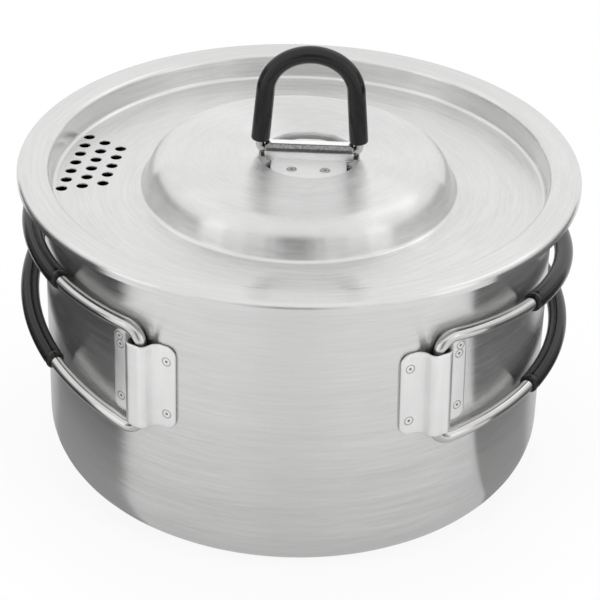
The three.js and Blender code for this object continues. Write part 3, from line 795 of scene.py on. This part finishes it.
def strainer_places(lid):
    """Centres of the strainer holes: straight rows, one behind the other, set square to the rows' middle."""
    rows = np.repeat(np.arange(len(STRAINER_ROWS)), STRAINER_ROWS)
    across = np.concatenate([np.arange(n) - (n - 1) / 2 for n in STRAINER_ROWS]) * lid.hole_pitch
    out = lid.row_reach - rows * lid.row_step
    turn = math.pi - lid.row_turn
    x = out * math.cos(turn) - across * math.sin(turn)
    y = out * math.sin(turn) + across * math.cos(turn)
    return np.stack([x, y], axis=1)


def punch_holes(shell, lid):
    """Cuts the strainer holes with one tool of many cups, each a hole with a mouth that widens at the top."""
    radius, mouth = lid.hole / 2, lid.hole_edge
    level = lid.annulus_level
    bottom, top = level - PUNCH_BELOW, level + PUNCH_ABOVE
    cup = np.array([(0, bottom), (radius, bottom), (radius, level - mouth),
                    (radius + 0.4 * mouth, level - 0.4 * mouth), (radius + 2 * mouth, level + mouth),
                    (radius + 2 * mouth, top), (0, top)])
    tools = []
    for x, y in strainer_places(lid):
        tool = turned("strainer_tool", cup, HOLE_FACETS)
        tool.data.transform(Matrix.Translation((x, y, 0)))
        tools.append(tool)
    with bpy.context.temp_override(active_object=tools[0], selected_editable_objects=tools):
        bpy.ops.object.join()
    cut = shell.modifiers.new("Strainer", "BOOLEAN")
    cut.operation = "DIFFERENCE"
    cut.solver = "EXACT"
    cut.object = tools[0]
    solid = bpy.data.meshes.new_from_object(shell.evaluated_get(bpy.context.evaluated_depsgraph_get()))
    shell.modifiers.clear()
    shell.data = solid
    solid.name = shell.name
    solid.set_sharp_from_angle(angle=CREASE)
    bpy.data.objects.remove(tools[0])


def ring_path(ring):
    """Centre line of the ring: half the bar, a bend, a leaning leg, half an ellipse, then the same back."""
    wide, narrow = ring.half_width, ring.half_width - ring.lean
    turn = np.linspace(0, math.pi, ARCH_POINTS)
    arch = np.stack([narrow * np.cos(turn), ring.leg + (ring.rise - ring.leg) * np.sin(turn)], axis=1)
    leg = rounded_line([(ring.end_gap / 2, 0), (wide, 0, ring.bend), (narrow, ring.leg)])[:-1]
    flat = refined(np.vstack([leg, arch, leg[::-1] * (-1, 1)]), WIRE_STEP)
    path = RING_PIVOT + np.stack([flat[:, 0], np.zeros(len(flat)), flat[:, 1]], axis=1)
    return path, np.broadcast_to((0.0, 1.0, 0.0), path.shape)


def hinge_matrix(side):
    """Turns local X to point out of the wall through a hinge, with Y along the wall."""
    x, y, z = HINGES[side]
    return Matrix.Translation((0, 0, z)) @ Matrix.Rotation(math.atan2(y, x), 4, "Z")


def carried(points, matrix):
    """Points turned and moved by a matrix."""
    moved = np.array(matrix)
    return points @ moved[:3, :3].T + moved[:3, 3]


def handle_path(handle, side):
    """A tapered loop drawn flat as (length, height), then bent round a circle, slanted, and swung and
    tipped on its hinge. Gives the centre line, its normals and the two places on it where the sleeve
    ends."""
    far, wide, narrow = handle.reach, handle.half_width, handle.end_half_width
    loop = [(0, handle.end_gap / 2), (0, wide, handle.bend), (far, narrow, handle.end_bend),
            (far, -narrow, handle.end_bend), (0, -wide, handle.bend), (0, -handle.end_gap / 2)]
    flat = refined(rounded_line(loop, steps=14), WIRE_STEP)
    back = BACKWARD[side]
    pivot_radius = math.hypot(*HINGES[side][:2])
    bow = pivot_radius + handle.ease
    rise = math.tan(getattr(handle, f"{side}_rise"))
    turn = flat[:, 0] / bow
    twist = getattr(handle, f"{side}_curl") * (flat[:, 1] / wide) * (flat[:, 0] / far) ** 2
    out = bow * (np.cos(turn) - 1) - twist
    path = np.stack([out, back * bow * np.sin(turn), flat[:, 1] + rise * flat[:, 0]], axis=1)
    normals = np.stack([np.cos(turn), back * np.sin(turn), np.zeros(len(turn))], axis=1)
    swing = Matrix.Rotation(-back * getattr(handle, f"{side}_stand_off"), 4, "Z")
    tip = Matrix.Rotation(back * getattr(handle, f"{side}_tip"), 4, "X")
    place = hinge_matrix(side) @ Matrix.Translation((pivot_radius, 0, 0)) @ tip @ swing
    path = carried(path, place)
    run, upper = run_lengths(path), flat[:, 1] > 0
    starts = getattr(handle, f"{side}_sleeve")
    ends = (float(np.interp(starts[0], flat[upper, 0], run[upper])),
            float(np.interp(starts[1], flat[~upper, 0][::-1], run[~upper][::-1])))
    return path, normals @ np.array(place)[:3, :3].T, ends


def bracket_piece(handle, side):
    """A strap bent into a hat, wrapped round the wall, with its flanges' corners rounded off."""
    pivot_radius = math.hypot(*HINGES[side][:2])
    wall = pivot_radius - handle.wire / 2 - PIVOT_GAP
    half_sheet = handle.bracket_sheet / 2
    seat = handle.bracket_seat + half_sheet
    half_span = pivot_radius * math.asin(handle.bracket_width / 2 / (wall + seat))
    half_width = handle.channel + half_sheet
    top = pivot_radius - wall + half_width
    bends = (handle.bracket_fillet, handle.bracket_crown)
    line = hat_line(half_span, seat, top, half_width, handle.flare, *bends)
    inset = np.clip(half_span - np.abs(line[:, 0]), 0, handle.bracket_corner)
    drop = handle.bracket_corner - np.sqrt(inset * (2 * handle.bracket_corner - inset))
    place = hinge_matrix(side) @ Matrix.Rotation(getattr(handle, f"{side}_lean"), 4, "X")

    def wrapped(points):
        turn = points[..., 0] / pivot_radius
        reach = wall + points[..., 1]
        return carried(np.stack([reach * np.cos(turn), reach * np.sin(turn), points[..., 2]], -1), place)

    heights = handle.bracket_height / 2 - drop
    return strap(f"{side}_bracket", line, heights, handle.bracket_sheet, wrapped)


def clip_piece(ring):
    """A strap rolled round the ring's bar: feet with round ends in the recess, which widen to the roll's
    length over the lower half of the neck."""
    half_sheet = ring.clip_sheet / 2
    seat = ring.clip_seat + half_sheet
    line = rolled_line(ring.clip_reach, seat, RING_PIVOT[2], ring.channel + half_sheet, ring.clip_neck)
    rounding = np.sqrt(np.clip(ring.clip_reach ** 2 - line[:, 0] ** 2, 0, None))
    feet = np.minimum(ring.clip_half_feet, rounding)
    rise = np.clip((line[:, 1] - seat) / (0.5 * ring.clip_neck), 0, 1)
    lengths = feet + (ring.clip_half_length - feet) * rise

    def placed(points):
        return np.stack([points[..., 2] + RING_PIVOT[0], points[..., 0], points[..., 1]], -1)

    return strap("ring_clip", line, np.maximum(lengths, half_sheet), ring.clip_sheet, placed)


def weld_mark(name, weld, matrix):
    """A spot weld's mark, turned about the weld's axis: from a sunk foot up to a low ring, across a dished
    floor, and up to a pip in the middle. Its reaches and bends are shares of the mark's radius."""
    r, bend, foot, floor = weld.radius, 0.1 * weld.radius, -2 * weld.pip, 0.1 * weld.ring
    line = [(0, foot), (0.9 * r, foot), (r, -0.2 * weld.ring), (0.88 * r, weld.ring, bend),
            (0.7 * r, weld.ring, bend), (0.58 * r, floor, bend), (0.3 * r, floor, bend),
            (0.18 * r, weld.pip, 0.08 * r), (0, weld.pip)]
    piece = turned(name, rounded_line(line, steps=5), WELD_FACETS)
    piece.data.transform(matrix)
    return piece


def weld_place(node_name, on_clip):
    """Stands a weld's mark on the face round its frame node. Gives its matrix and the way that it points,
    which is up on the clip, and straight out of the wall on a bracket."""
    low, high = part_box(node_name)
    centre = (low + high) / 2
    out = Vector((0, 0, 1)) if on_clip else Vector((centre.x, centre.y, 0)).normalized()
    rise = CLIP_MARK_RISE if on_clip else BRACKET_MARK_RISE
    tilt = out.to_track_quat("Z", "Y").to_matrix().to_4x4()
    return Matrix.Translation(centre + out * rise) @ tilt, out


# Stage

WHITE = (1, 1, 1, 1)
SENSOR_WIDTH = 36
WORLD_LIGHT = 0.5  # strength of the world where it only lights
FLOOR_HALF = 5.0
FLOOR_ROUGHNESS = 0.9
FLOOR_FADE = (0.1, 0.2)  # axis to where the floor's brightness starts and stops to change
FLOOR_WHITENESS = (0.88, 1)  # how white the camera sees the floor, near and far
FLOOR_MIRRORED_SHADOW = (0.39, 0.1)  # how much darker the steel sees it, near and far: painted shadow round the pot, seen only in the steel
CARD_FADE = (0.105, 0.15)
FLOOR_CARD_LIFT = 0.5 * MM
# Cards have their turns in degrees from the front to the right, and their sizes in metres
Card = namedtuple("Card", "turns distance width bottom top brightness")
CARDS = {
    "camera_flag": Card((0,), 1.0, 0.28, 0.0, 0.7, 0.28),
    "near_front_flag": Card((0,), 1.05, 0.5, 0.0, 0.78, 0.45),
    "front_flag": Card((0,), 1.1, 0.85, 0.0, 0.86, 0.65),
    "far_front_flag": Card((0,), 1.15, 1.7, 0.0, 0.95, 0.84),
    "front_cards": Card((-61, 61), 1.2, 0.36, 0.0, 0.9, 1.25),
    "left_flag": Card((-104,), 1.3, 1.6, 0.0, 0.46, 0.32),
    "right_flag": Card((104,), 1.3, 1.6, 0.0, 0.46, 0.5),
    "right_high_card": Card((138,), 1.3, 1.1, 1.2, 2.5, 1.4),
    "left_high_card": Card((-141,), 1.3, 0.5, 1.3, 2.0, 1.25),
}
# Corners of the dark floor's cards, in millimetres
DARK_FLOOR = {
    "left": ((-40, -60), (-900, -230), (-900, 830), (-60, -35)),
    "right": ((40, -38), (900, -200), (900, 830), (60, -35)),
}
Lamp = namedtuple("Lamp", "place size power")
LAMPS = {
    "overhead": Lamp((0, 0.15, 0.9), 0.7, 5.0),
    "front_left": Lamp((-0.7, -0.8, 0.75), 0.5, 4.0),
    "front_right": Lamp((0.75, -0.7, 0.75), 0.5, 4.0),
}
LAMP_AIM = Vector((0, 0, 0.05))


def place_camera(stage):
    """Looks at a point beside the pot's axis from the given angles, turned about its own view by the roll."""
    view = bpy.data.cameras.new("camera")
    view.lens = stage.lens
    view.sensor_width = SENSOR_WIDTH
    camera = in_scene("camera", view)
    orbit = Matrix.Rotation(stage.azimuth, 4, "Z")
    aim = Matrix.Translation((stage.aim_side, 0, stage.aim_height))
    tilt = Matrix.Rotation(math.pi / 2 - stage.elevation, 4, "X")
    back = Matrix.Translation((0, 0, stage.distance))
    camera.matrix_world = orbit @ aim @ tilt @ Matrix.Rotation(stage.roll, 4, "Z") @ back
    bpy.context.scene.camera = camera


def seen_directly(tree, path):
    """One where the camera sees a surface, straight or through a clear one."""
    return maths(tree, "MAXIMUM", path["Is Camera Ray"], path["Is Transmission Ray"])


def white_world(stage):
    """White where the camera sees it, as bright as the surround where the steel mirrors it, and dimmer
    where it only lights."""
    world = bpy.data.worlds.new("studio")
    bpy.context.scene.world = world
    world.use_nodes = True
    tree = world.node_tree
    tree.nodes.clear()
    path = node(tree, "ShaderNodeLightPath").outputs
    skies = [node(tree, "ShaderNodeBackground", {"Color": WHITE, "Strength": strength}).outputs[0]
             for strength in (1, stage.surround, WORLD_LIGHT)]
    shown, mirrored, light = skies
    plain = node(tree, "ShaderNodeMixShader", {0: path["Is Glossy Ray"], 1: light, 2: mirrored}).outputs[0]
    mix = node(tree, "ShaderNodeMixShader", {0: seen_directly(tree, path), 1: plain, 2: shown}).outputs[0]
    node(tree, "ShaderNodeOutputWorld", {"Surface": mix})


def flat_sheet(name, corners, material):
    """One or more flat quads, not part of the pot."""
    points = np.array(corners, float).reshape(-1, 3)
    mesh = bpy.data.meshes.new(name)
    mesh.from_pydata(points, [], np.arange(len(points)).reshape(-1, 4).tolist())
    mesh.materials.append(material)
    piece = in_scene(name, mesh)
    return piece


def faded(tree, near, far, limits):
    """A brightness that changes between two distances from the pot's axis."""
    return ranged(tree, reach_of(tree, object_place(tree)), *limits, near, far)


def glowing(material, strength):
    """A material's own white light, of the given strength."""
    return node(material.node_tree, "ShaderNodeEmission", {"Color": WHITE, "Strength": strength}).outputs[0]


def pale_floor(stage):
    """A pale floor that fades to white away from the pot and keeps the pot's soft shadow close to it. The
    steel sees it darker near the pot, a painted shadow.
    """
    looks = {"Base Color": (*stage.floor, 1), "Roughness": FLOOR_ROUGHNESS}
    material, tree, shader = new_material("pale_floor", looks)
    path = node(tree, "ShaderNodeLightPath").outputs
    glossy = path["Is Glossy Ray"]
    white = maths(tree, "MULTIPLY", faded(tree, *FLOOR_WHITENESS, FLOOR_FADE), seen_directly(tree, path))
    # painted shadow: the steel sees the floor darker close to the pot
    mirrored_shadow = maths(tree, "MULTIPLY", glossy, faded(tree, *FLOOR_MIRRORED_SHADOW, FLOOR_FADE))
    glow = glowing(material, maths(tree, "SUBTRACT", 1, mirrored_shadow))
    factor = maths(tree, "MAXIMUM", white, glossy)
    mix = node(tree, "ShaderNodeMixShader", {0: factor, 1: shader.outputs[0], 2: glow}).outputs[0]
    fill_in(tree, tree.nodes["Material Output"], {"Surface": mix})
    corners = [(x * FLOOR_HALF, y * FLOOR_HALF, 0) for x, y in ((-1, -1), (1, -1), (1, 1), (-1, 1))]
    flat_sheet("floor", corners, material)


def card(name, quads, near, far=None):
    """Flat cards that the pot mirrors and nothing else sees, of one brightness or with another one further
    out."""
    material, tree, _ = new_material(name, {})
    brightness = near if far is None else faded(tree, near, far, CARD_FADE)
    fill_in(tree, tree.nodes["Material Output"], {"Surface": glowing(material, brightness)})
    piece = flat_sheet(name, quads, material)
    piece.visible_camera = False
    piece.visible_diffuse = False
    piece.visible_shadow = False
    piece.visible_transmission = False


def standing(turn, distance, width, bottom, top):
    """A standing card that faces the axis, at an angle from the front towards the right."""
    out = np.array([math.sin(turn), -math.cos(turn), 0]) * distance
    side = np.array([math.cos(turn), math.sin(turn), 0]) * width / 2
    low, high = np.array([0, 0, bottom]), np.array([0, 0, top])
    return [out - side + low, out + side + low, out + side + high, out - side + high]


def light_cards(stage):
    """Bright cards high behind the pot and at both sides of the camera, dark flags low at the camera and at
    the sides, and a dark floor on both sides of the pot."""
    for name, each in CARDS.items():
        size = (each.distance, each.width, each.bottom, each.top)
        quads = [standing(math.radians(turn), *size) for turn in each.turns]
        card(name, quads, each.brightness)
    for side, corners in DARK_FLOOR.items():
        quad = [(x * MM, y * MM, FLOOR_CARD_LIFT) for x, y in corners]
        card(f"{side}_dark_floor", [quad], stage.dark_near, getattr(stage, f"{side}_dark"))


def soft_lamps():
    """A wide lamp overhead and one to each side of the camera, which light the pot and aren't mirrored in
    it."""
    for name, each in LAMPS.items():
        light = bpy.data.lights.new(name, "AREA")
        light.size = each.size
        light.energy = each.power
        lamp = in_scene(name, light)
        lamp.visible_glossy = False
        lamp.location = each.place
        aim = LAMP_AIM - lamp.location
        lamp.rotation_euler = aim.to_track_quat("-Z", "Y").to_euler()


# Operators and panel

class POT_OT_body(Operator):
    """Build the drawn pot."""

    bl_idname = "camping_pot.body"
    bl_label = "Pot"
    bl_options = {"REGISTER", "UNDO"}

    def execute(self, context):
        pot = context.scene.camping_pot.pot
        piece = turned("pot_shell", pot_profile(pot), pot.facets)
        finished(piece, "pot", "circle_brushed_steel", "brushed_sheet", "pot_body")
        return {"FINISHED"}


class POT_OT_lid(Operator):
    """Build the pressed lid with its strainer holes."""

    bl_idname = "camping_pot.lid"
    bl_label = "Lid"
    bl_options = {"REGISTER", "UNDO"}

    def execute(self, context):
        settings = context.scene.camping_pot
        profile = lid_profile(settings.lid)
        piece = turned("lid", profile, settings.pot.facets, recess_shift(settings.lid, profile))
        punch_holes(piece, settings.lid)
        finished(piece, "lid", "circle_brushed_steel", "brushed_sheet", "lid_shell")
        return {"FINISHED"}


class POT_OT_ring(Operator):
    """Build the ring's clip, wire and sleeve."""

    bl_idname = "camping_pot.ring"
    bl_label = "Ring"
    bl_options = {"REGISTER", "UNDO"}

    def execute(self, context):
        ring = context.scene.camping_pot.ring
        finished(clip_piece(ring), "lid", "polished_clip", "strap_sheet", "lid_ring_clip")
        path, normals = ring_path(ring)
        piece = wire_piece("ring_wire", path, normals, ring.wire)
        finished(piece, "lid_ring", "drawn_wire", "bright_wire", "lid_ring_wire")
        run, half = run_lengths(path), len(path) // 2
        start = float(np.interp(RING_PIVOT[2] + ring.sleeve_start, path[:half, 2], run[:half]))
        bore = ring.wire / 2 + SLEEVE_PLAY
        ends = (start, run[-1] - start)
        piece = sleeve_piece("ring_sleeve", path, normals, ends, bore, ring.sleeve, swell=ring.sleeve_swell)
        finished(piece, "lid_ring", "black_tube", "black_sleeve", "lid_ring_sleeve")
        return {"FINISHED"}


class POT_OT_handles(Operator):
    """Build both handles, their sleeves and their hinge brackets."""

    bl_idname = "camping_pot.handles"
    bl_label = "Handles"
    bl_options = {"REGISTER", "UNDO"}

    def execute(self, context):
        handle = context.scene.camping_pot.handle
        bore = handle.wire / 2 + SLEEVE_PLAY
        for side in SIDES:
            body = f"{side}_handle"
            piece = bracket_piece(handle, side)
            finished(piece, "pot", "rolled_strap", "strap_sheet", f"{side}_hinge_bracket")
            path, normals, ends = handle_path(handle, side)
            piece = wire_piece(f"{side}_wire", path, normals, handle.wire)
            finished(piece, body, "drawn_wire", "bright_wire", f"{side}_handle_wire")
            piece = sleeve_piece(f"{side}_sleeve", path, normals, ends, bore, handle.sleeve,
                                 groove=handle.sleeve_groove)
            finished(piece, body, "black_tube", "black_sleeve", f"{side}_handle_sleeve")
        return {"FINISHED"}


class POT_OT_welds(Operator):
    """Build the spot welds' marks on the brackets and the clip."""

    bl_idname = "camping_pot.welds"
    bl_label = "Spot welds"
    bl_options = {"REGISTER", "UNDO"}

    def execute(self, context):
        weld = context.scene.camping_pot.weld
        for name in sorted(name for name in frame["nodes"] if "_weld_" in name):
            on_clip = name.startswith("clip")
            place, out = weld_place(name, on_clip)
            mark = name.replace("_weld_", "_mark_")
            piece = weld_mark(mark, weld, place)
            finished(piece, "lid" if on_clip else "pot", "weld_mark", "weld_metal", name)
            if name.endswith("rear_upper"):
                along = Vector((-out.y, out.x, 0)) * BACKWARD[name.split("_")[0]]
                beside = Matrix.Translation(along * weld.second_shift + Vector((0, 0, weld.second_rise)))
                piece = weld_mark(f"{mark}_second", weld, beside @ place)
                finished(piece, "pot", "weld_mark", "weld_metal")
        return {"FINISHED"}


class POT_OT_stage(Operator):
    """Set up the camera, the floor, the cards, the lamps and the world."""

    bl_idname = "camping_pot.stage"
    bl_label = "Stage"
    bl_options = {"REGISTER", "UNDO"}

    def execute(self, context):
        stage = context.scene.camping_pot.stage
        place_camera(stage)
        white_world(stage)
        pale_floor(stage)
        light_cards(stage)
        soft_lamps()
        return {"FINISHED"}


class POT_PT_panel(Panel):
    """Lists the pot's pieces and its stage."""

    bl_idname = "POT_PT_panel"
    bl_label = "Camping pot"
    bl_space_type = "VIEW_3D"
    bl_region_type = "UI"
    bl_category = "Camping pot"

    def draw(self, context):
        for operator in OPERATORS:
            self.layout.operator(operator.bl_idname)
        for key, group in GROUPS.items():
            box = self.layout.box()
            box.label(text=group.__doc__)
            for size in group.__annotations__:
                box.prop(getattr(context.scene.camping_pot, key), size)


GROUPS = {"pot": PotSizes, "lid": LidSizes, "ring": RingSizes, "handle": HandleSizes, "weld": WeldSizes,
          "finish": FinishSettings, "stage": StageSettings}
OPERATORS = (POT_OT_body, POT_OT_lid, POT_OT_ring, POT_OT_handles, POT_OT_welds, POT_OT_stage)
CLASSES = (*GROUPS.values(), CampingPot, *OPERATORS, POT_PT_panel)


def register():
    for each in CLASSES:
        bpy.utils.register_class(each)
    bpy.types.Scene.camping_pot = PointerProperty(type=CampingPot)


def unregister():
    del bpy.types.Scene.camping_pot
    for each in reversed(CLASSES):
        bpy.utils.unregister_class(each)


def main():
    """Builds every piece and the stage."""
    register()
    bpy.context.scene.view_settings.view_transform = "Standard"
    bpy.ops.camping_pot.stage()
    bpy.ops.camping_pot.body()
    bpy.ops.camping_pot.lid()
    bpy.ops.camping_pot.ring()
    bpy.ops.camping_pot.handles()
    bpy.ops.camping_pot.welds()


if __name__ == "__main__":
    main()
